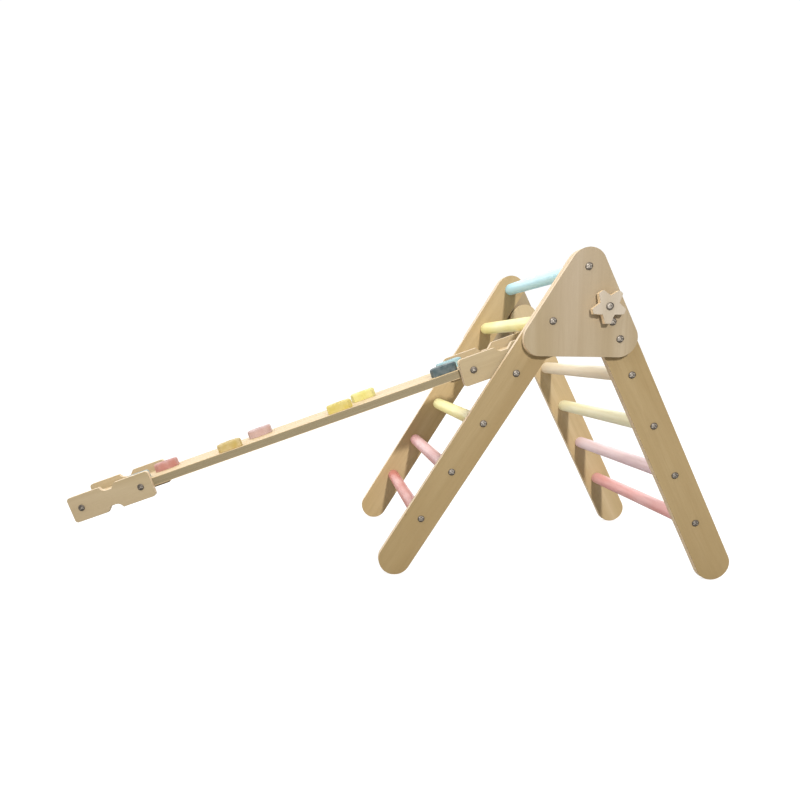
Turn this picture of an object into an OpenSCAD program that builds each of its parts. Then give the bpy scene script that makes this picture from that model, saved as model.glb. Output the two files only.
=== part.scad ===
// Folding climbing triangle with a hook-on ramp board.
// Units are millimetres, +Z is up, +X runs from the ramp's low end to the folding ladder.
// The middle of the bounding box is at X = 0 and Y = 0, and the floor is at Z = 0.

/* [Triangle] */
// How far each ladder leans from upright, in degrees
lean = 30; // [28:0.5:31]
// Distance between rung centres along a rail
rung_pitch = 120; // [110:1:145]
// Rung diameter
rung_d = 30; // [24:1:36]
// Overall width across the rails
frame_w = 630; // [520:5:760]
// Rail width
rail_w = 72; // [60:1:78]
// Rail plywood thickness
rail_t = 18; // [15:1:22]
// Last rung to the centre of the rounded foot
foot_reach = 107; // [60:1:140]

/* [Apex plate] */
// Apex plate plywood thickness
gusset_t = 18; // [15:1:22]
// Second rung to the centre of each lower corner of the apex plate, along the ladder
corner_past = 38; // [24:1:60]

/* [Fold and lock] */
// Gap between the folding ladder's round head and the fixed rail
head_gap = 3.3; // [1:0.1:8]
// Side gap between the folding ladder and the apex plate
fold_gap = 0.3; // [0.2:0.1:0.6]
// Width clearance of the guide groove around the bolt's point
groove_play = 0.5; // [0.4:0.1:1]
// Extra width of the holes that end the guide groove
end_hole_play = 0.4; // [0.2:0.1:0.8]
// Depth of the guide groove in the rail
groove_depth = 6; // [5:0.5:8]
// Diameter of the lock bolt's plain point
point_d = 6; // [4:0.5:6.5]
// Length of the lock bolt's plain point past the apex plate
point_len = 4.3; // [3:0.1:4.5]

/* [Star knob] */
// Radius to the star's tips
star_r = 33.5; // [30:0.5:40]
// Radius to the star's inner corners
star_inner_r = 20; // [16:0.5:24]
// Width of the blunt tips
star_tip_w = 9.5; // [6:0.5:13]
// Star plywood thickness
star_t = 15; // [12:1:22]
// Length of the spacer behind the star
spacer_len = 4.2; // [3.6:0.1:8]
// Spacer diameter
spacer_d = 17; // [14:1:24]

/* [Fasteners] */
// Bolt head diameter
head_d = 14.5; // [13:0.5:16]
// Bolt head height
head_h = 3; // [2.4:0.1:3.2]
// Hexagon socket width across flats
socket_af = 5; // [4:0.5:6]
// Hexagon socket depth
socket_depth = 2; // [1.5:0.1:2.2]
// Ladder bolt diameter
bolt_d = 8; // [6:1:8]
// Radial clearance of ladder bolts in their rail holes
bolt_play = 0.2; // [0.1:0.05:0.4]
// Radial running clearance of turning bolts in the apex plate
run_play = 0.05; // [0.02:0.01:0.09]
// Threaded insert outside diameter
insert_d = 12; // [11:0.5:14]
// Threaded insert length in a rung end
insert_len = 22; // [18:1:30]
// Length of bolt that screws into a rung end
grip_len = 20; // [15:1:22]
// Ramp and hold bolt diameter
ramp_bolt_d = 6; // [5:1:6]

/* [Ramp] */
// Distance between the middles of the lower and upper hook plates
ramp_span = 910; // [760:1:1100]
// Width of the ramp board between its hook plates
board_w = 170; // [140:1:240]
// Ramp board thickness
board_t = 18; // [15:1:21]
// Ramp board end to hook plate end
board_inset = 8; // [2:1:20]
// Gap between the near rail and the ramp
ramp_side_gap = 12; // [8:1:150]
// Hook plate length
plate_len = 196; // [180:1:200]
// Hook plate height
plate_h = 58; // [54:1:62]
// Hook plate plywood thickness
plate_t = 18; // [15:1:22]
// Hook plate corner radius
plate_r = 7; // [4:0.5:10]
// Depth of the rung seats in the hook plates
seat_depth = 11; // [8:0.5:12]
// Seat centre past the middle of a hook plate
seat_offset = 4; // [0:0.5:8]
// Extra flat length at the roof of a seat
seat_flat = 8; // [4:0.5:14]
// Gap between a seat and the rung in it
seat_gap = 0.3; // [0.2:0.1:0.6]
// Gap between the hook plate's tail and the rung that stops it
stop_gap = 0.4; // [0.3:0.1:1]
// Bolt spacing on a hook plate
plate_bolts = 144; // [130:1:152]
// Length of ramp bolt inside the board
edge_grip = 30; // [26:1:36]
// Barrel nut diameter
nut_d = 10; // [9:0.5:12]
// Barrel nut centre to the board's edge
nut_inset = 20; // [16:1:20]

/* [Climbing holds] */
// Height of the climbing holds
hold_h = 18; // [14:1:24]
// Length of the climbing holds
hold_len = 57; // [50:1:60]
// Width of the sloping rim around the top of a hold
hold_rim = 2.5; // [1.5:0.5:6]
// Height of the sloping rim around the top of a hold
hold_rim_h = 3; // [2:0.5:7]
// Lowest near hold to the inner bolts of the lower hook plates
low_hold_back = 10; // [8:1:30]
// Highest near hold to the middle of the upper hook plates
high_hold_at = 126; // [110:1:170]
// How far up the near row the second hold is, in parts of a hundred
near_second = 31; // [20:1:40]
// How far up the near row the third hold is, in parts of a hundred
near_third = 67; // [60:1:80]
// Uphill shift of the first far hold from its near one
far_shift_1 = 54; // [20:1:80]
// Uphill shift of the second far hold from its near one
far_shift_2 = 66; // [20:1:80]
// Uphill shift of the third far hold from its near one
far_shift_3 = 60; // [20:1:80]
// Uphill shift of the fourth far hold from its near one
far_shift_4 = 28; // [20:1:60]
// Near row of holds to the near edge of the board
near_row_in = 33; // [33:1:38]
// Far row of holds to the middle of the board
far_row = 24; // [20:1:30]
// Hold bolt head recess diameter
recess_d = 15; // [14:0.5:17]
// Hold bolt head recess depth
recess_depth = 6; // [5:0.5:7]
// Tee nut flange diameter
tee_d = 17; // [15:0.5:19]
// Tee nut flange thickness
tee_t = 1.5; // [1:0.1:2]
// Tee nut barrel diameter
tee_barrel_d = 8; // [7.5:0.5:9]
// Tee nut barrel length
tee_barrel_len = 11; // [8:1:12]

/* [Hidden] */
$fn = 96;
eps = 1;
round_fn = 96;
// Lengths that follow from the sizes above
gap_angle = 2 * lean;
fold_w = frame_w - 2 * fold_gap;
rung_len = frame_w - 2 * rail_t;
fold_rung_len = fold_w - 2 * rail_t;
rail_r = rail_w / 2;
last_rung = 5 * rung_pitch;
foot_at = last_rung + foot_reach;
apex_h = foot_at * cos(lean) + rail_r;
lock_reach = rung_pitch - (rail_w + head_gap) / sin(gap_angle);
lock_at = rung_pitch - lock_reach;
groove_w = point_d + groove_play;
corner_r = rail_r;
corner_reach = rung_pitch + corner_past;
out_y = frame_w / 2;
gusset_y = out_y + gusset_t;
star_gap = 0.3;
star_back = gusset_y + star_gap + spacer_len;
star_face = star_back + star_t;
// Ramp frame: U runs uphill along the board and V square to it, from the hook rung
seat_r = rung_d / 2 + seat_gap;
plate_v = plate_h / 2 - seat_depth + seat_r;
top_v = plate_v + plate_h / 2;
upper_u = -seat_offset;
lower_u = upper_u - ramp_span;
tail_u = upper_u + plate_len / 2;
low_u = lower_u - plate_len / 2;
corner_u = tail_u - plate_r;
corner_v = top_v - plate_r;
corner_len = sqrt(corner_u * corner_u + corner_v * corner_v);
corner_angle = atan2(corner_v, corner_u);
touch = rung_d / 2 + plate_r + stop_gap;
// The tail stops on the next rung up: with its corner, or with its flat top when the rung sits lower
tail_cos = (rung_pitch * rung_pitch + corner_len * corner_len - touch * touch)
    / (2 * rung_pitch * corner_len);
rung_line = 90 - lean;
corner_slope = tail_cos < 1 ? rung_line - corner_angle - acos(tail_cos) : 90;
flat_angle = asin((top_v + rung_d / 2 + stop_gap) / rung_pitch);
flat_slope = rung_line - flat_angle;
tail_slope = rung_pitch * cos(flat_angle) < corner_u ? flat_slope : corner_slope;
// The low end stops on the floor when the tail has not stopped it before
hook_at = 2 * rung_pitch;
hook_h = apex_h - hook_at * cos(lean);
low_v = plate_v - plate_h / 2 + plate_r;
low_len = sqrt((low_u + plate_r) * (low_u + plate_r) + low_v * low_v);
low_angle = atan2(low_v, -(low_u + plate_r));
floor_slope = asin((hook_h - plate_r) / low_len) + low_angle;
ramp_slope = min(tail_slope, floor_slope);
board_v = plate_v;
board_top = board_v + board_t / 2;
board_len = tail_u - low_u - 2 * board_inset;
board_mid = (tail_u + low_u) / 2;
ramp_w = board_w + 2 * plate_t;
ramp_y = -out_y + rail_t + ramp_side_gap + ramp_w / 2;
// Middle of the overall length
hook_x = -hook_at * sin(lean);
left_x = hook_x + (low_u + plate_r) * cos(ramp_slope)
    - (plate_v + plate_h / 2 - plate_r) * sin(ramp_slope) - plate_r;
right_x = foot_at * sin(lean) + rail_r;
mid_x = (left_x + right_x) / 2;
hold_nut_len = tee_barrel_len + tee_t;

// Placing helpers
module place() {
    translate([-mid_x, 0, apex_h]) children();
}

module along(side, reach) {
    translate([side * reach * sin(lean), 0, -reach * cos(lean)]) children();
}

module slab(y_low, thick) {
    translate([0, y_low + thick, 0]) rotate([90, 0, 0]) linear_extrude(height = thick) children();
}

module bar(d, y_low, len) {
    translate([0, y_low, 0]) rotate([-90, 0, 0]) cylinder(d = d, h = len);
}

module both_sides() {
    children();
    mirror([0, 1, 0]) children();
}

// A bolt along Y: the head's seat is at y_seat and the shank runs towards +Y
module bolt(y_seat, len, d) {
    difference() {
        union() {
            intersection() {
                bar(head_d, y_seat - head_h, head_h);
                translate([0, y_seat + 2 * head_d - head_h, 0]) sphere(r = 2 * head_d);
            }
            bar(d, y_seat, len);
        }
        translate([0, y_seat - head_h - eps, 0]) rotate([-90, 0, 0])
            cylinder(d = socket_af / cos(30), h = socket_depth + eps, $fn = 6);
    }
}

module insert(y_low, len, bore) {
    difference() {
        bar(insert_d, y_low, len);
        bar(bore, y_low - eps, len + 2 * eps);
    }
}

// Fixed ladder
module rail_outline(top, bottom) {
    translate([0, -top]) circle(r = rail_r);
    translate([0, -bottom]) circle(r = rail_r);
    translate([-rail_r, -bottom]) square([rail_w, bottom - top]);
}

module rail_fixed() {
    difference() {
        rotate([0, lean, 0]) slab(-out_y, rail_t) rail_outline(0, foot_at);
        for (k = [0:5])
            along(-1, k * rung_pitch) bar(bolt_d + 2 * bolt_play, -out_y - eps, rail_t + 2 * eps);
    }
}

module rail_fixed_near() {
    color("burlywood") place() rail_fixed();
}

module rail_fixed_far() {
    color("burlywood") place() mirror([0, 1, 0]) rail_fixed();
}

module rung(len) {
    difference() {
        bar(rung_d, -len / 2, len);
        bar(insert_d, -len / 2 - eps, insert_len + eps);
        bar(insert_d, len / 2 - insert_len, insert_len + eps);
    }
}

module rung_fixed_1() {
    color("powderblue") place() along(-1, 0) rung(rung_len);
}

module rung_fixed_2() {
    color("khaki") place() along(-1, rung_pitch) rung(rung_len);
}

module rung_fixed_3() {
    color("bisque") place() along(-1, 2 * rung_pitch) rung(rung_len);
}

module rung_fixed_4() {
    color("khaki") place() along(-1, 3 * rung_pitch) rung(rung_len);
}

module rung_fixed_5() {
    color("pink") place() along(-1, 4 * rung_pitch) rung(rung_len);
}

module rung_fixed_6() {
    color("lightcoral") place() along(-1, 5 * rung_pitch) rung(rung_len);
}

module fixed_rung_bolts() {
    color("silver") place() both_sides()
        for (k = [2:5])
            along(-1, k * rung_pitch) bolt(-out_y, rail_t + grip_len, bolt_d);
}

module fixed_inserts() {
    color("darkgray") place() both_sides()
        for (k = [0:5])
            along(-1, k * rung_pitch) insert(-rung_len / 2, insert_len, bolt_d);
}

// Apex plates, bolted to the fixed ladder
module apex_outline() {
    low_x = corner_reach * sin(lean);
    low_z = -corner_reach * cos(lean);
    side_x = corner_r * cos(lean);
    side_z = corner_r * sin(lean);
    circle(r = corner_r);
    translate([-low_x, low_z]) circle(r = corner_r);
    translate([low_x, low_z]) circle(r = corner_r);
    polygon([[-side_x, side_z], [-low_x - side_x, low_z + side_z], [-low_x, low_z - corner_r],
        [low_x, low_z - corner_r], [low_x + side_x, low_z + side_z], [side_x, side_z]]);
}

module apex_plate() {
    difference() {
        slab(-gusset_y, gusset_t) apex_outline();
        along(-1, 0) bar(bolt_d + 2 * bolt_play, -gusset_y - eps, gusset_t + 2 * eps);
        along(-1, rung_pitch) bar(bolt_d + 2 * bolt_play, -gusset_y - eps, gusset_t + 2 * eps);
        along(1, rung_pitch) bar(bolt_d + 2 * run_play, -gusset_y - eps, gusset_t + 2 * eps);
        along(1, lock_at) bar(insert_d, -gusset_y - eps, gusset_t + 2 * eps);
        along(1, corner_reach) bar(insert_d, -gusset_y - eps, gusset_t + 2 * eps);
    }
}

module apex_plate_near() {
    color("tan") place() apex_plate();
}

module apex_plate_far() {
    color("tan") place() mirror([0, 1, 0]) apex_plate();
}

module apex_bolts() {
    color("silver") place() both_sides()
        for (k = [0:1])
            along(-1, k * rung_pitch) bolt(-gusset_y, gusset_t + rail_t + grip_len, bolt_d);
}

module apex_inserts() {
    color("darkgray") place() both_sides() {
        along(1, lock_at) insert(-gusset_y, gusset_t, bolt_d + 2 * run_play);
        along(1, corner_reach) insert(-gusset_y, gusset_t, bolt_d);
    }
}

module stop_bolts() {
    color("silver") place() both_sides()
        along(1, corner_reach) bolt(-gusset_y, gusset_t - 1, bolt_d);
}

// Folding ladder, turning on the bolts of its top rung
module guide_groove() {
    along(1, rung_pitch) rotate([90, 0, 0]) {
        rotate([0, 0, 90 + lean]) rotate_extrude(angle = gap_angle)
            translate([lock_reach - groove_w / 2, 0]) square([groove_w, groove_depth + eps]);
        for (turn = [90 + lean, 90 + lean + gap_angle])
            rotate([0, 0, turn]) translate([lock_reach, 0, 0])
                cylinder(d = groove_w + end_hole_play, h = groove_depth + eps);
    }
}

module rail_fold() {
    face = fold_w / 2;
    difference() {
        rotate([0, -lean, 0]) slab(-face, rail_t) rail_outline(lock_at, foot_at);
        for (k = [1:5])
            along(1, k * rung_pitch) bar(bolt_d + 2 * bolt_play, -face - eps, rail_t + 2 * eps);
        translate([0, -face + groove_depth, 0]) guide_groove();
        along(1, lock_at) bar(groove_w, -face - eps, 2 * groove_depth + eps);
        along(1, corner_reach) bar(bolt_d + 2 * bolt_play, -face - eps, 2 * groove_depth + eps);
    }
}

module rail_fold_near() {
    color("wheat") place() rail_fold();
}

module rail_fold_far() {
    color("wheat") place() mirror([0, 1, 0]) rail_fold();
}

module rung_fold_1() {
    color("lightcoral") place() along(1, 5 * rung_pitch) rung(fold_rung_len);
}

module rung_fold_2() {
    color("pink") place() along(1, 4 * rung_pitch) rung(fold_rung_len);
}

module rung_fold_3() {
    color("khaki") place() along(1, 3 * rung_pitch) rung(fold_rung_len);
}

module rung_fold_4() {
    color("bisque") place() along(1, 2 * rung_pitch) rung(fold_rung_len);
}

module rung_fold_5() {
    color("powderblue") place() along(1, rung_pitch) rung(fold_rung_len);
}

module fold_rung_bolts() {
    color("silver") place() both_sides()
        for (k = [2:5])
            along(1, k * rung_pitch) bolt(-fold_w / 2, rail_t + grip_len, bolt_d);
}

module pivot_bolts() {
    color("silver") place() both_sides()
        along(1, rung_pitch)
            bolt(-gusset_y - fold_gap, gusset_t + 2 * fold_gap + rail_t + grip_len, bolt_d);
}

module fold_inserts() {
    color("darkgray") place() both_sides()
        for (k = [1:5])
            along(1, k * rung_pitch) insert(-fold_rung_len / 2, insert_len, bolt_d);
}

// Star knobs, a straight-sided star with its tips cut to a circle
function turned(p, a) = [p[0] * cos(a) - p[1] * sin(a), p[0] * sin(a) + p[1] * cos(a)];
half_tip = star_tip_w / 2;
star_points = [for (k = [0:4]) for (p = [[star_r + 1, -half_tip], [star_r + 1, half_tip],
    [star_inner_r * cos(36), star_inner_r * sin(36)]]) turned(p, 72 * k - 90)];

module star_outline() {
    intersection() {
        polygon(star_points);
        circle(r = star_r);
    }
}

module star() {
    along(1, lock_at) difference() {
        slab(-star_face, star_t) star_outline();
        bar(bolt_d, -star_face - eps, star_t + 2 * eps);
    }
}

module star_bolt() {
    along(1, lock_at) {
        bolt(-star_face, star_face - out_y, bolt_d);
        bar(point_d, -out_y - eps, point_len + eps);
    }
}

module star_spacer() {
    along(1, lock_at) difference() {
        bar(spacer_d, -star_back, spacer_len);
        bar(bolt_d, -star_back - eps, spacer_len + 2 * eps);
    }
}

module star_near() {
    color("moccasin") place() star();
}

module star_bolt_near() {
    color("silver") place() star_bolt();
}

module star_spacer_near() {
    color("gray") place() star_spacer();
}

module star_far() {
    color("moccasin") place() mirror([0, 1, 0]) star();
}

module star_bolt_far() {
    color("silver") place() mirror([0, 1, 0]) star_bolt();
}

module star_spacer_far() {
    color("gray") place() mirror([0, 1, 0]) star_spacer();
}

// Ramp: built level from the hook rung, then sloped down and moved to its place
module ramp_place() {
    place() along(-1, hook_at) translate([0, ramp_y, 0]) rotate([0, -ramp_slope, 0]) children();
}

// The seat opens downwards and is left open towards the low end
module seat_outline() {
    half = plate_h / 2;
    roof = half - seat_depth;
    centre = roof + seat_r;
    translate([seat_offset, -centre]) circle(r = seat_r);
    polygon([[seat_offset, -roof], [seat_offset - seat_flat - seat_r / 4, -roof],
        [seat_offset - seat_flat - seat_r / 4 - seat_depth - seat_r, -centre - seat_r + seat_r / 4],
        [seat_offset + seat_r, -centre - seat_r / 2], [seat_offset + seat_r, -centre],
        [seat_offset, -centre]]);
}

module hook_outline() {
    x = plate_len / 2 - plate_r;
    z = plate_h / 2 - plate_r;
    difference() {
        union() {
            for (a = [-1, 1])
                for (b = [-1, 1])
                    translate([a * x, b * z]) circle(r = plate_r);
            translate([-x, -plate_h / 2]) square([2 * x, plate_h]);
            translate([-plate_len / 2, -z]) square([plate_len, 2 * z]);
        }
        seat_outline();
        rotate(180) seat_outline();
    }
}

module hook(mid_u) {
    hole = ramp_bolt_d + 2 * bolt_play;
    translate([mid_u, 0, plate_v]) difference() {
        slab(-ramp_w / 2, plate_t) hook_outline();
        for (a = [-1, 1])
            translate([a * plate_bolts / 2, 0, 0])
                bar(hole, -ramp_w / 2 - eps, plate_t + 2 * eps);
    }
}

module hook_upper_near() {
    color("peru") ramp_place() hook(upper_u);
}

module hook_upper_far() {
    color("peru") ramp_place() mirror([0, 1, 0]) hook(upper_u);
}

module hook_lower_near() {
    color("peru") ramp_place() hook(lower_u);
}

module hook_lower_far() {
    color("peru") ramp_place() mirror([0, 1, 0]) hook(lower_u);
}

module at_ramp_bolts() {
    for (mid_u = [lower_u, upper_u])
        for (a = [-1, 1])
            translate([mid_u + a * plate_bolts / 2, 0, board_v]) children();
}

// Hold centres: index 0 to 7, near and far in turn, from the low end up
low_hold = lower_u + plate_bolts / 2 - low_hold_back;
high_hold = upper_u - high_hold_at;
up_row = [0, near_second / 100, near_third / 100, 1];
far_shift = [far_shift_1, far_shift_2, far_shift_3, far_shift_4];
function near_u(pair) = low_hold + up_row[pair] * (high_hold - low_hold);
function hold_u(i) = near_u(floor(i / 2)) + (i % 2) * far_shift[floor(i / 2)];
function hold_y(i) = i % 2 == 0 ? near_row_in - board_w / 2 : far_row;

module at_hold(i) {
    translate([hold_u(i), hold_y(i), board_top]) children();
}

module ramp_board() {
    color("burlywood") ramp_place() difference() {
        translate([board_mid - board_len / 2, -board_w / 2, board_v - board_t / 2])
            cube([board_len, board_w, board_t]);
        both_sides() at_ramp_bolts() {
            bar(ramp_bolt_d + 2 * bolt_play, -board_w / 2 - eps, edge_grip + 3 + eps);
            translate([0, -board_w / 2 + nut_inset, -board_t / 2 - eps])
                cylinder(d = nut_d, h = board_t - 3 + eps);
        }
        for (i = [0:7])
            at_hold(i) {
                translate([0, 0, -board_t - eps]) cylinder(d = tee_barrel_d, h = board_t + 2 * eps);
                translate([0, 0, -board_t - eps]) cylinder(d = tee_d, h = tee_t + eps);
            }
    }
}

module ramp_bolts() {
    color("silver") ramp_place() both_sides() at_ramp_bolts()
        bolt(-ramp_w / 2, plate_t + edge_grip, ramp_bolt_d);
}

module barrel_nuts() {
    color("darkgray") ramp_place() both_sides() at_ramp_bolts()
        translate([0, -board_w / 2 + nut_inset, 0]) difference() {
            translate([0, 0, -board_t / 2 + 1]) cylinder(d = nut_d, h = board_t - 4);
            bar(ramp_bolt_d, -nut_d, 2 * nut_d);
        }
}

// Hold outlines, each a hand-drawn rounded stone with one long straight side
outline_a = [[-26, -21], [18, -21], [27, -10], [25, 11], [11, 22], [-15, 20], [-27, 6]];
outline_b = [[-20, -21], [24, -21], [27, -4], [19, 16], [-2, 22], [-22, 16], [-27, -7]];
outline_c = [[-27, -12], [-17, -21], [22, -21], [27, 2], [20, 19], [-8, 22], [-25, 12]];
outline_d = [[-24, -21], [21, -21], [27, -12], [26, 8], [14, 21], [-9, 21], [-22, 14], [-27, -2]];

outline_len = 54;

module hold(i, drawn) {
    outline = drawn * (hold_len / outline_len);
    color("lightgray") ramp_place() at_hold(i) mirror([0, i % 2, 0]) difference() {
        hull() {
            linear_extrude(height = hold_h - hold_rim_h) polygon(outline);
            linear_extrude(height = hold_h)
                polygon([for (p = outline) p * (1 - hold_rim / norm(p))]);
        }
        translate([0, 0, -eps]) cylinder(d = ramp_bolt_d + 2 * bolt_play, h = hold_h + 2 * eps);
        translate([0, 0, hold_h - recess_depth]) cylinder(d = recess_d, h = recess_depth + eps);
    }
}

module hold_1() {
    hold(0, outline_c);
}

module hold_2() {
    hold(1, outline_a);
}

module hold_3() {
    hold(2, outline_b);
}

module hold_4() {
    hold(3, outline_d);
}

module hold_5() {
    hold(4, outline_a);
}

module hold_6() {
    hold(5, outline_b);
}

module hold_7() {
    hold(6, outline_d);
}

module hold_8() {
    hold(7, outline_c);
}

// Hold bolts stand square to the board, with the head down in its recess
module hold_bolts() {
    reach = hold_h - recess_depth + board_t - tee_t;
    color("silver") ramp_place()
        for (i = [0:7])
            at_hold(i) translate([0, 0, hold_h - recess_depth]) difference() {
                union() {
                    cylinder(d = head_d - 1, h = head_h);
                    translate([0, 0, -reach]) cylinder(d = ramp_bolt_d, h = reach + eps);
                }
                translate([0, 0, head_h - socket_depth])
                    cylinder(d = socket_af / cos(30), h = socket_depth + eps, $fn = 6);
            }
}

module tee_nuts() {
    color("darkgray") ramp_place()
        for (i = [0:7])
            at_hold(i) translate([0, 0, -board_t]) difference() {
                union() {
                    cylinder(d = tee_d, h = tee_t);
                    cylinder(d = tee_barrel_d, h = hold_nut_len);
                }
                translate([0, 0, -eps]) cylinder(d = ramp_bolt_d, h = hold_nut_len + 2 * eps);
            }
}

rail_fixed_near();
rail_fixed_far();
rung_fixed_1();
rung_fixed_2();
rung_fixed_3();
rung_fixed_4();
rung_fixed_5();
rung_fixed_6();
apex_plate_near();
apex_plate_far();
fixed_rung_bolts();
apex_bolts();
fixed_inserts();
stop_bolts();
apex_inserts();
rail_fold_near();
rail_fold_far();
rung_fold_1();
rung_fold_2();
rung_fold_3();
rung_fold_4();
rung_fold_5();
fold_rung_bolts();
pivot_bolts();
fold_inserts();
star_near();
star_bolt_near();
star_spacer_near();
star_far();
star_bolt_far();
star_spacer_far();
ramp_board();
hook_upper_near();
hook_upper_far();
hook_lower_near();
hook_lower_far();
ramp_bolts();
barrel_nuts();
hold_1();
hold_2();
hold_3();
hold_4();
hold_5();
hold_6();
hold_7();
hold_8();
hold_bolts();
tee_nuts();
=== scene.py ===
# A folding climbing triangle with a hook-on ramp board, in the frame of its CAD model.
# Metres, +Z up, +X from the ramp's low end to the folding ladder, floor at Z = 0.
from math import cos, radians, sin

import bmesh
import bpy
from mathutils import Matrix, Vector


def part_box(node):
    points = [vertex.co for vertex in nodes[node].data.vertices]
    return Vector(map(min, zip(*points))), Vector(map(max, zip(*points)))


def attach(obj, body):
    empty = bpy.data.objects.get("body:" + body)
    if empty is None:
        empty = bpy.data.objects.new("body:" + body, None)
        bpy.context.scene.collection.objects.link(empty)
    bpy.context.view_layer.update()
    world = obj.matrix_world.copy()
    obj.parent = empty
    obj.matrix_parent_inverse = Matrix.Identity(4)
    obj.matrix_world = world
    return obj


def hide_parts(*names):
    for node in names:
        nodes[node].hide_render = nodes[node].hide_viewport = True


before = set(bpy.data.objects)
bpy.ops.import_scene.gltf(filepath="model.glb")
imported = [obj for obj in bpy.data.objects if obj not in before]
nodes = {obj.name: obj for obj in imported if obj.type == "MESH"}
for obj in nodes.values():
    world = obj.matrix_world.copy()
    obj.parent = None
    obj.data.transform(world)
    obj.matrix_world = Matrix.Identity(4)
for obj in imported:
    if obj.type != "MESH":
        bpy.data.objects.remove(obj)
bpy.context.view_layer.update()

# Viewpoint: low and to the left of the triangle, in front of the ramp, with the frame set
# off centre so that the whole ramp fits on the left.
eye = (-0.1919, -1.9686, 0.4857)
lens_mm, sensor_mm = 34.43, 36
shift_right, shift_up = 0.1236, 0.2185
view_turn, view_dip, view_roll = radians(-0.69), radians(16.52), radians(0.77)
look = Vector((sin(view_turn) * cos(view_dip), cos(view_turn) * cos(view_dip), -sin(view_dip)))
level = Vector((cos(view_turn), -sin(view_turn), 0))
rise = level.cross(look)
across = level * cos(view_roll) + rise * sin(view_roll)
upward = rise * cos(view_roll) - level * sin(view_roll)
camera = bpy.data.objects.new("camera", bpy.data.cameras.new("camera"))
bpy.context.collection.objects.link(camera)
camera.matrix_world = Matrix((across, upward, -look)).transposed().to_4x4()
camera.location = eye
camera.data.lens, camera.data.sensor_width = lens_mm, sensor_mm
camera.data.shift_x, camera.data.shift_y = shift_right, shift_up
camera.data.clip_end = 200
bpy.context.scene.camera = camera

# The rails: four boards of birch plywood, 72 mm wide and 18 mm thick, with round ends. Each is
# cut with the face grain along it, drilled for its rung bolts, rounded over and clear oiled.
lean = 30
rail_roundover = 0.0022
ply_thick = 0.018
veneers_through = 12.4
outer_sanded = 0.3
veneer = ply_thick / veneers_through
birch_light, birch_deep = (0.745, 0.600, 0.400), (0.620, 0.475, 0.278)
birch_ring, birch_fibre = (0.50, 0.370, 0.200), (0.47, 0.345, 0.200)
birch_dash, birch_rosy = (0.32, 0.21, 0.12), (0.72, 0.575, 0.440)
birch_knot, birch_glue = (0.20, 0.105, 0.05), (0.25, 0.15, 0.08)
birch_cross, birch_pore = (0.740, 0.600, 0.430), (0.52, 0.385, 0.245)
bend_is_sharp = 48


def joined(name, node, body, roundover, steps=3, sharp=35):
    """A copy of a CAD node's shape with its triangles joined. Its edges that turn by more than
    sharp degrees are rounded, in the given number of steps."""
    shape = bmesh.new()
    shape.from_mesh(nodes[node].data)
    bmesh.ops.remove_doubles(shape, verts=shape.verts, dist=2e-6)
    bmesh.ops.dissolve_limit(shape, angle_limit=radians(0.3), verts=shape.verts, edges=shape.edges)
    edges = [e for e in shape.edges if e.is_manifold and e.calc_face_angle() > radians(sharp)]
    bmesh.ops.bevel(
        shape, geom=edges, offset=roundover, offset_type="OFFSET", affect="EDGES",
        segments=steps, profile=0.5, clamp_overlap=True, material=-1)
    mesh = bpy.data.meshes.new(name)
    shape.to_mesh(mesh)
    shape.free()
    mesh.shade_smooth()
    mesh.set_sharp_from_angle(angle=radians(bend_is_sharp))
    piece = bpy.data.objects.new(name, mesh)
    bpy.context.collection.objects.link(piece)
    even = piece.modifiers.new("even shading", "WEIGHTED_NORMAL")
    even.keep_sharp = True
    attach(piece, body)
    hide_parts(node)
    return piece


def finish_start(name):
    """A new material, its tree and its surface shader."""
    material = bpy.data.materials.new(name)
    material.use_nodes = True
    tree = material.node_tree
    return material, tree, tree.nodes["Principled BSDF"]


def math(tree, kind, a, b=0.0):
    """One sum on two values, each a number or another node's output."""
    node = tree.nodes.new("ShaderNodeMath")
    node.operation = kind
    for socket, value in zip(node.inputs, (a, b)):
        if isinstance(value, (int, float)):
            socket.default_value = value
        else:
            tree.links.new(value, socket)
    return node.outputs[0]


def mixed(tree, amount, first, second, kind="MIX"):
    """The first colour with the second blended over it by amount."""
    node = tree.nodes.new("ShaderNodeMix")
    node.data_type, node.blend_type = "RGBA", kind
    sockets = (node.inputs[0], node.inputs[6], node.inputs[7])
    for socket, value in zip(sockets, (amount, first, second)):
        if isinstance(value, tuple):
            socket.default_value = (*value, 1)
        elif isinstance(value, (int, float)):
            socket.default_value = value
        else:
            tree.links.new(value, socket)
    return node.outputs[2]


def noise(tree, place, scale, detail=3.0, rough=0.5, bend=0.0):
    """Noise stretched by scale, in waves per metre along each axis."""
    stretch = tree.nodes.new("ShaderNodeVectorMath")
    stretch.operation = "MULTIPLY"
    tree.links.new(place, stretch.inputs[0])
    stretch.inputs[1].default_value = scale
    node = tree.nodes.new("ShaderNodeTexNoise")
    tree.links.new(stretch.outputs[0], node.inputs["Vector"])
    node.inputs["Scale"].default_value = 1
    node.inputs["Detail"].default_value = detail
    node.inputs["Roughness"].default_value = rough
    node.inputs["Distortion"].default_value = bend
    return node.outputs["Fac"]


def spread(tree, value, low, high, to_low=0.0, to_high=1.0):
    """The value mapped from low and high to to_low and to_high, and held between them."""
    node = tree.nodes.new("ShaderNodeMapRange")
    tree.links.new(value, node.inputs[0])
    for socket, number in zip(list(node.inputs)[1:5], (low, high, to_low, to_high)):
        socket.default_value = number
    return node.outputs[0]


def relief(tree, surface, height, depth, strength):
    """Fine relief of the surface, depth metres deep where strength is 1."""
    bump = tree.nodes.new("ShaderNodeBump")
    bump.inputs["Distance"].default_value = depth
    bump.inputs["Strength"].default_value = strength
    tree.links.new(height, bump.inputs["Height"])
    tree.links.new(bump.outputs[0], surface.inputs["Normal"])


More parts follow.
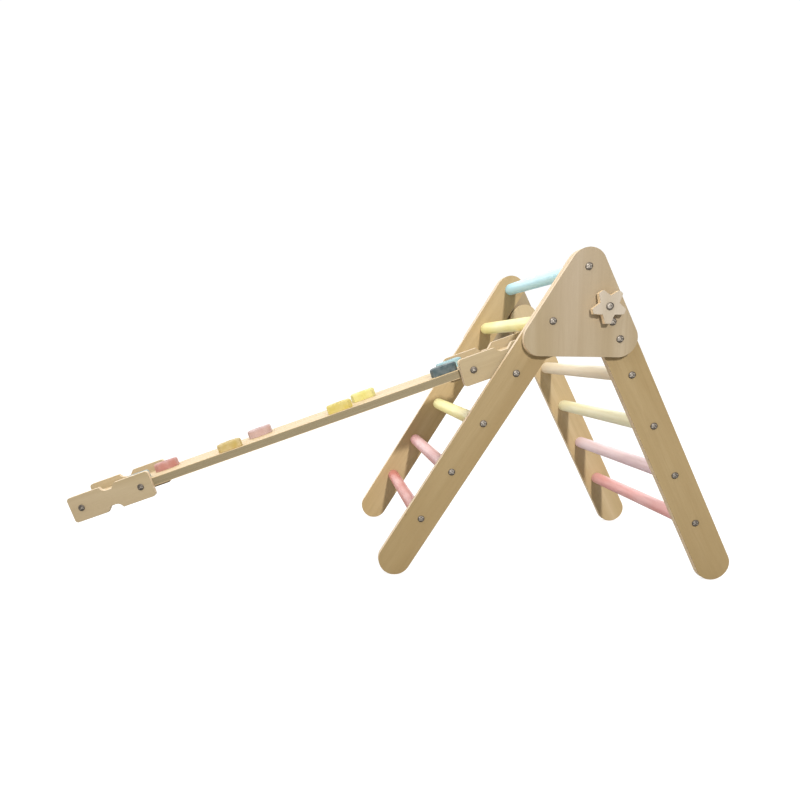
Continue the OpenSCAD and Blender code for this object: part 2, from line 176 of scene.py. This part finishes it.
def birch_ply(name, grain_turn, stack, low_face, shift, face_tone, core_tone, warm):
    """Birch plywood. Its grain runs along Z once turned by grain_turn degrees about Y; its
    veneers are stacked along the turned axis named by stack, from low_face in metres. The oiled
    outer veneers are toned by face_tone, and the sanded edges of the core by core_tone. shift
    gives each board its own figure, and warm says how much of it has a rosy tint."""
    material, tree, surface = finish_start(name)
    where = tree.nodes.new("ShaderNodeTexCoord").outputs["Object"]
    turn = tree.nodes.new("ShaderNodeMapping")
    turn.inputs["Rotation"].default_value = (0, radians(grain_turn), 0)
    tree.links.new(where, turn.inputs["Vector"])
    split = tree.nodes.new("ShaderNodeSeparateXYZ")
    tree.links.new(turn.outputs[0], split.inputs[0])
    depth = split.outputs["Y" if stack == "Y" else "X"]
    width = split.outputs["X" if stack == "Y" else "Y"]
    inward = math(tree, "SUBTRACT", depth, low_face)
    ply = math(tree, "ADD", math(tree, "DIVIDE", inward, veneer), outer_sanded)
    leaf = math(tree, "FLOOR", ply)
    crossing = math(tree, "PINGPONG", leaf, 1.0)
    glue = spread(tree, math(tree, "FRACT", ply), 0.10, 0.02)
    # each veneer is its own sheet of wood, so its figure is shifted from the next one's
    place = tree.nodes.new("ShaderNodeCombineXYZ")
    tree.links.new(math(tree, "ADD", width, math(tree, "MULTIPLY", leaf, 0.37)), place.inputs[0])
    tree.links.new(math(tree, "ADD", depth, shift), place.inputs[1])
    tree.links.new(split.outputs["Z"], place.inputs[2])
    at = place.outputs[0]
    bands = noise(tree, at, (17, 17, 1.7), 2.0, 0.45, 0.6)
    rings = noise(tree, at, (95, 60, 4.5), 3.0, 0.55, 1.1)
    fibres = noise(tree, at, (1500, 400, 32), 3.0, 0.65)
    dashes = noise(tree, at, (2300, 900, 130), 1.0, 0.4)
    figure = mixed(tree, spread(tree, bands, 0.32, 0.70), birch_light, birch_deep)
    figure = mixed(tree, spread(tree, rings, 0.44, 0.74, 0, 0.30), figure, birch_ring)
    figure = mixed(tree, spread(tree, fibres, 0.36, 0.74, 0, 0.24), figure, birch_fibre)
    figure = mixed(tree, spread(tree, dashes, 0.68, 0.80, 0, 0.30), figure, birch_dash)
    patches = noise(tree, at, (7, 7, 3), 1.0)
    figure = mixed(tree, spread(tree, patches, 0.40, 0.75, 0, warm * 0.45), figure, birch_rosy)
    # now and then a pin knot
    speck = tree.nodes.new("ShaderNodeTexVoronoi")
    squeeze = tree.nodes.new("ShaderNodeVectorMath")
    squeeze.operation = "MULTIPLY"
    squeeze.inputs[1].default_value = (26, 8, 7)
    tree.links.new(at, squeeze.inputs[0])
    tree.links.new(squeeze.outputs[0], speck.inputs["Vector"])
    speck.inputs["Scale"].default_value = 1
    figure = mixed(tree, spread(tree, speck.outputs["Distance"], 0.034, 0.012, 0, 0.62),
                   figure, birch_knot)
    # the cut ends of the crossing veneers
    pores = noise(tree, where, (1900, 1900, 1900), 2.0, 0.6)
    ends = mixed(tree, spread(tree, pores, 0.40, 0.68), birch_cross, birch_pore)
    colour = mixed(tree, crossing, figure, ends)
    colour = mixed(tree, math(tree, "MULTIPLY", glue, 0.55), colour, birch_glue)
    # the outermost veneer on each side is oiled, and the ones between are the core
    middle = veneers_through / 2
    inside = math(tree, "COMPARE", leaf, middle)
    inside.node.inputs[2].default_value = middle - 0.6
    tone = mixed(tree, inside, face_tone, core_tone)
    colour = mixed(tree, 1.0, colour, tone, "MULTIPLY")
    tree.links.new(colour, surface.inputs["Base Color"])
    tree.links.new(spread(tree, fibres, 0.3, 0.8, 0.50, 0.66), surface.inputs["Roughness"])
    surface.inputs["Specular IOR Level"].default_value = 0.26
    surface.inputs["Coat Weight"].default_value = 0.04
    surface.inputs["Coat Roughness"].default_value = 0.40
    height = math(tree, "SUBTRACT", math(tree, "ADD", fibres, math(tree, "MULTIPLY", rings, 0.5)),
                  math(tree, "MULTIPLY", glue, 0.5))
    relief(tree, surface, height, 0.00012, 0.7)
    return material


def faced(piece, material):
    """Give a piece one material all over."""
    piece.data.materials.clear()
    piece.data.materials.append(material)


sanded_edge = (1.08, 1.06, 1.02)
near_oiled = (0.495, 0.455, 0.345)
# the far rails are the same oiled birch as the near ones, toned lighter as painted light
far_fixed_oiled_painted_light, far_fold_oiled_painted_light = (0.70, 0.64, 0.50), (0.80, 0.77, 0.68)
for node, body, turn, shift, tone, warm in (
        ("rail_fixed_near", "frame", -lean, 0.11, near_oiled, 0.3),
        ("rail_fixed_far", "frame", -lean, 0.53, far_fixed_oiled_painted_light, 0.8),
        ("rail_fold_near", "folding_ladder", lean, 0.87, near_oiled, 0.3),
        ("rail_fold_far", "folding_ladder", lean, 1.31, far_fold_oiled_painted_light, 0.8)):
    rail = joined(node.replace("rail", "rail_board"), node, body, rail_roundover)
    faced(rail, birch_ply(
        "birch " + node, turn, "Y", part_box(node)[0].y, shift, tone, sanded_edge, warm))

# The apex plates: rounded triangles of the same plywood, with upright grain, over the tops of
# the rails on both sides. They carry the fixed ladder's two top bolts and the fold's pivots.
apex_oiled = (0.55, 0.555, 0.555)
apex_grain_turn = 4
for node, shift in (("apex_plate_near", 2.03), ("apex_plate_far", 2.71)):
    plate = joined(node.replace("apex_plate", "apex_board"), node, "frame", rail_roundover)
    faced(plate, birch_ply(
        "birch " + node, apex_grain_turn, "Y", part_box(node)[0].y, shift, apex_oiled,
        sanded_edge, 0.8))

# The rungs: round beech dowels 30 mm thick with eased ends, dipped in a satin water paint in
# five pastel colours. A threaded insert in each end takes the bolt through the rail.
rung_ease = 0.0016
rub_starts, rub_ends = 0.004, 0.0005
bare_beech = (0.62, 0.50, 0.35)
# and paler copies on the folding ladder as painted light
# red, pink and yellow are each listed twice: deeper copies on the fixed ladder as painted shade,
paints = {
    "sky": (0.470, 0.790, 0.880), "yellow_shaded_copy": (0.900, 0.810, 0.290),
    "yellow_lit_copy": (0.860, 0.800, 0.480), "cream": (0.930, 0.780, 0.560),
    "pink_shaded_copy": (0.620, 0.300, 0.285), "pink_lit_copy": (0.780, 0.550, 0.570),
    "red_shaded_copy": (0.550, 0.155, 0.115), "red_lit_copy": (0.750, 0.330, 0.300)}
rung_colours = {
    "rung_fixed_1": "sky", "rung_fixed_2": "yellow_shaded_copy", "rung_fixed_3": "cream",
    "rung_fixed_4": "yellow_shaded_copy", "rung_fixed_5": "pink_shaded_copy", "rung_fixed_6": "red_shaded_copy",
    "rung_fold_1": "red_lit_copy", "rung_fold_2": "pink_lit_copy", "rung_fold_3": "yellow_lit_copy",
    "rung_fold_4": "cream", "rung_fold_5": "sky"}


def dipped_paint(name, colour, end_at):
    """Thin paint on a dowel that lies along Y: the grain shows through a little, the coat is
    slightly cloudy, and it is rubbed where the dowel meets the rails, end_at from the middle."""
    material, tree, surface = finish_start(name)
    where = tree.nodes.new("ShaderNodeTexCoord").outputs["Object"]
    grain = noise(tree, where, (620, 9, 620), 3.0, 0.6)
    cloud = noise(tree, where, (22, 7, 22), 2.0, 0.5)
    brush = noise(tree, where, (1500, 40, 1500), 2.0, 0.5)
    deep = tuple(c * k for c, k in zip(colour, (0.86, 0.83, 0.80)))
    pale = tuple(c + (1 - c) * 0.22 for c in colour)
    coat = mixed(tree, spread(tree, cloud, 0.30, 0.72), colour, pale)
    coat = mixed(tree, spread(tree, grain, 0.50, 0.78, 0, 0.45), coat, deep)
    split = tree.nodes.new("ShaderNodeSeparateXYZ")
    tree.links.new(where, split.inputs[0])
    off_middle = math(tree, "ABSOLUTE", split.outputs["Y"])
    near_end = spread(tree, off_middle, end_at - rub_starts, end_at - rub_ends)
    rub = math(tree, "MULTIPLY", near_end, spread(tree, brush, 0.45, 0.62))
    coat = mixed(tree, math(tree, "MULTIPLY", rub, 0.6), coat, bare_beech)
    tree.links.new(coat, surface.inputs["Base Color"])
    tree.links.new(spread(tree, brush, 0.3, 0.7, 0.36, 0.50), surface.inputs["Roughness"])
    surface.inputs["Specular IOR Level"].default_value = 0.42
    height = math(tree, "ADD", grain, math(tree, "MULTIPLY", brush, 0.4))
    relief(tree, surface, height, 0.00010, 0.6)
    return material


for node, paint in rung_colours.items():
    body = "frame" if "fixed" in node else "folding_ladder"
    rung = joined(node.replace("rung", "rung_dowel"), node, body, rung_ease)
    faced(rung, dipped_paint(paint + " paint on " + node, paints[paint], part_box(node)[1].y))

# The bolts: steel furniture bolts with wide low heads and a hexagon socket. Each head's rim and
# socket walls and the shank are darkened steel as painted shade; the crown is plain steel. They
# hold the rungs and plates; the folding ladder swings on the pair through its top rung.
bolt_ease = 0.0005
crown = 0.986  # a face counts as the crown of a head when it points this well along the bolt


def plated_steel(name, tone, roughness):
    """Metal of the given tone, a little cloudy and finely scratched by the key."""
    material, tree, surface = finish_start(name)
    where = tree.nodes.new("ShaderNodeTexCoord").outputs["Object"]
    cloud = noise(tree, where, (300, 300, 300), 3.0, 0.6)
    scratch = noise(tree, where, (3500, 900, 500), 2.0, 0.7)
    colour = mixed(tree, spread(tree, cloud, 0.35, 0.70), tone, tuple(c * 0.72 for c in tone))
    tree.links.new(colour, surface.inputs["Base Color"])
    surface.inputs["Metallic"].default_value = 1.0
    tree.links.new(spread(tree, scratch, 0.3, 0.7, roughness - 0.07, roughness + 0.10),
                   surface.inputs["Roughness"])
    relief(tree, surface, scratch, 0.00003, 0.5)
    return material


# bolt crowns are plain steel; rims, sockets and the star spacers take darker steel as painted
# shade
bolt_crown_steel = plated_steel("steel on bolt crowns", (0.44, 0.40, 0.35), 0.55)
steel_painted_shade = plated_steel("steel darkened as painted shade", (0.15, 0.13, 0.11), 0.50)


def bolted(piece, axis):
    """Plain steel where a head faces its axis; dark steel, painted shade, on rim and shank."""
    faced(piece, bolt_crown_steel)
    piece.data.materials.append(steel_painted_shade)
    for face in piece.data.polygons:
        face.material_index = 0 if abs(face.normal.dot(axis)) > crown else 1


along_y = Vector((0, 1, 0))
for node, body in (
        ("fixed_rung_bolts", "frame"), ("apex_bolts", "frame"), ("stop_bolts", "frame"),
        ("fold_rung_bolts", "folding_ladder"), ("pivot_bolts", "folding_ladder")):
    bolts = joined("plated_" + node, node, body, bolt_ease, 2)
    bolted(bolts, along_y)
insert_zinc = plated_steel("zinc plate on inserts", (0.48, 0.47, 0.44), 0.40)
for node in ("fixed_inserts", "apex_inserts", "fold_inserts"):
    faced(nodes[node], insert_zinc)

# The star knobs: thick plywood stars with blunt points, one on each side, glued to a bolt and
# standing off the apex plate on a steel spacer. Their bolt locks the folding ladder.
star_roundover = 0.0028
small_ease = 0.0004
# the stars' core veneers are toned lighter: painted light on their sides
star_oiled, star_edge_painted_light = (0.70, 0.77, 0.96), (1.42, 1.38, 1.30)
for side, shift in (("near", 3.37), ("far", 3.91)):
    body = "knob_" + side
    star = joined("star_knob_" + side, "star_" + side, body, star_roundover, 4)
    faced(star, birch_ply(
        "birch star " + side, 0, "Y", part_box("star_" + side)[0].y, shift, star_oiled,
        star_edge_painted_light, 0.4))
    bolted(joined("knob_bolt_" + side, "star_bolt_" + side, body, bolt_ease, 2), along_y)
    # the spacer, under the star, is all darker steel as painted shade
    faced(joined("knob_spacer_" + side, "star_spacer_" + side, body, small_ease, 2), steel_painted_shade)

# The ramp: one long plywood board between four identical hook plates, whose seats hook over a
# rung. The plates are bolted into the board's edges with barrel nuts.
ramp_slope = 19.9867
slope = radians(ramp_slope)
hook_rung = Vector((0.230436, 0, 0.440434))
board_over_rung = 0.0333
ramp_roundover = 0.0016
# the board's core veneers are toned dark: painted shade along its edges
board_oiled, board_edge_painted_shade = (0.95, 0.92, 0.84), (0.40, 0.415, 0.37)
hook_oiled = (0.60, 0.60, 0.56)
up_board = Vector((-sin(slope), 0, cos(slope)))
# along the turned -X axis the board's top face is the low one
board_top = -(hook_rung.dot(up_board) + board_over_rung + ply_thick / 2)
board = joined("ramp_plank", "ramp_board", "ramp", ramp_roundover)
faced(board, birch_ply(
    "birch ramp_board", ramp_slope - 90, "X", board_top, 4.43, board_oiled, board_edge_painted_shade, 0.7))
for node, shift in (("hook_upper_near", 5.03), ("hook_upper_far", 5.57),
                    ("hook_lower_near", 6.11), ("hook_lower_far", 6.67)):
    hook = joined(node.replace("hook", "hook_plate"), node, "ramp", ramp_roundover)
    faced(hook, birch_ply(
        "birch " + node, ramp_slope - 90, "Y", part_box(node)[0].y, shift, hook_oiled,
        sanded_edge, 0.7))
bolted(joined("plated_ramp_bolts", "ramp_bolts", "ramp", bolt_ease, 2), along_y)
faced(joined("plated_barrel_nuts", "barrel_nuts", "ramp", small_ease, 2), insert_zinc)

# The climbing holds: small hardwood blocks cut like stones, with a sloping rim, sanded soft and
# painted. Each is held by one bolt from the top into a tee nut under the board.
hold_roundover, hold_sharp = 0.0012, 20
tee_nut_ease = 0.0003
hold_paints = {
    "hold_1": (0.220, 0.285, 0.275), "hold_2": (0.440, 0.195, 0.165),
    "hold_3": (0.470, 0.345, 0.100), "hold_4": (0.470, 0.315, 0.290),
    "hold_5": (0.560, 0.450, 0.100), "hold_6": (0.640, 0.590, 0.195),
    "hold_7": (0.040, 0.072, 0.080), "hold_8": (0.245, 0.420, 0.455)}


def hold_paint(name, colour):
    """Thick satin paint with a fine stipple, thinner and lighter in patches."""
    material, tree, surface = finish_start(name)
    where = tree.nodes.new("ShaderNodeTexCoord").outputs["Object"]
    stipple = noise(tree, where, (900, 900, 900), 3.0, 0.6)
    patch = noise(tree, where, (60, 60, 60), 2.0, 0.5)
    pale = tuple(c + (1 - c) * 0.12 for c in colour)
    deep = tuple(c * 0.80 for c in colour)
    coat = mixed(tree, spread(tree, patch, 0.35, 0.70), colour, pale)
    coat = mixed(tree, spread(tree, stipple, 0.52, 0.75, 0, 0.4), coat, deep)
    tree.links.new(coat, surface.inputs["Base Color"])
    tree.links.new(spread(tree, stipple, 0.3, 0.7, 0.46, 0.62), surface.inputs["Roughness"])
    surface.inputs["Specular IOR Level"].default_value = 0.30
    relief(tree, surface, stipple, 0.00016, 0.6)
    return material


for node, colour in hold_paints.items():
    hold = joined(node.replace("hold", "stone_hold"), node, "ramp", hold_roundover, 3, hold_sharp)
    faced(hold, hold_paint("paint on " + node, colour))
bolted(joined("plated_hold_bolts", "hold_bolts", "ramp", bolt_ease, 2), up_board)
faced(joined("plated_tee_nuts", "tee_nuts", "ramp", tee_nut_ease, 2), insert_zinc)

# The studio: a white floor, a surround that is bright at the sides, behind and overhead and
# dim in front, and one small lamp a few metres in front of the object that throws the rails'
# shadows back onto the rungs.
floor_reach, floor_grey, floor_rough, floor_glow = 60, 0.38, 0.8, 0.72
sky_level, sky_overhead, sky_in_front, sky_seen = 2.0, 1.15, 0.16, 1.05
# the surround is dim where a direction points forward by dim_whole, and bright below dim_none
front_x, front_y = 0.34, 0.94
dim_whole, dim_none = 0.75, 0.10
lamp_watts, lamp_across, lamp_warmth = 300, 0.25, (1.0, 0.975, 0.94)
lamp_place, lamp_aim = Vector((0.35, -6.0, 2.60)), Vector((0.1, 0, 0.35))

floor_shape = bmesh.new()
bmesh.ops.create_grid(floor_shape, x_segments=1, y_segments=1, size=floor_reach)
floor_mesh = bpy.data.meshes.new("floor")
floor_shape.to_mesh(floor_mesh)
floor_shape.free()
floor = bpy.data.objects.new("floor", floor_mesh)
bpy.context.collection.objects.link(floor)
floor_paint, tree, surface = finish_start("pale floor")
surface.inputs["Roughness"].default_value = floor_rough
surface.inputs["Base Color"].default_value = (floor_grey, floor_grey, floor_grey, 1)
surface.inputs["Specular IOR Level"].default_value = 0.0
surface.inputs["Emission Color"].default_value = (1, 1, 1, 1)
seen = tree.nodes.new("ShaderNodeLightPath").outputs["Is Camera Ray"]
tree.links.new(math(tree, "MULTIPLY", seen, floor_glow), surface.inputs["Emission Strength"])
faced(floor, floor_paint)

world = bpy.data.worlds.new("studio")
bpy.context.scene.world = world
world.use_nodes = True
sky = world.node_tree
split = sky.nodes.new("ShaderNodeSeparateXYZ")
sky.links.new(sky.nodes.new("ShaderNodeTexCoord").outputs["Generated"], split.inputs[0])
bright = spread(sky, split.outputs["Z"], 0.0, 1.0, sky_level, sky_overhead)
frontness = math(sky, "SUBTRACT", math(sky, "MULTIPLY", split.outputs["X"], front_x),
                 math(sky, "MULTIPLY", split.outputs["Y"], front_y))
dim = spread(sky, frontness, dim_whole, dim_none)
dim.node.interpolation_type = "SMOOTHSTEP"
glow = math(sky, "ADD", sky_in_front, math(sky, "MULTIPLY", bright, dim))
path = sky.nodes.new("ShaderNodeLightPath").outputs["Is Camera Ray"]
strength = sky.nodes.new("ShaderNodeMix")
sky.links.new(path, strength.inputs[0])
sky.links.new(glow, strength.inputs[2])
strength.inputs[3].default_value = sky_seen
backdrop = sky.nodes["Background"]
backdrop.inputs["Color"].default_value = (1, 1, 1, 1)
sky.links.new(strength.outputs[0], backdrop.inputs["Strength"])

lamp = bpy.data.lights.new("front lamp", "AREA")
lamp.shape, lamp.size, lamp.energy = "DISK", lamp_across, lamp_watts
lamp.color = lamp_warmth
front = bpy.data.objects.new("front lamp", lamp)
bpy.context.collection.objects.link(front)
front.location = lamp_place
front.rotation_mode = "QUATERNION"
front.rotation_quaternion = (lamp_aim - front.location).to_track_quat("-Z", "Y")
bpy.context.scene.view_settings.view_transform = "Standard"
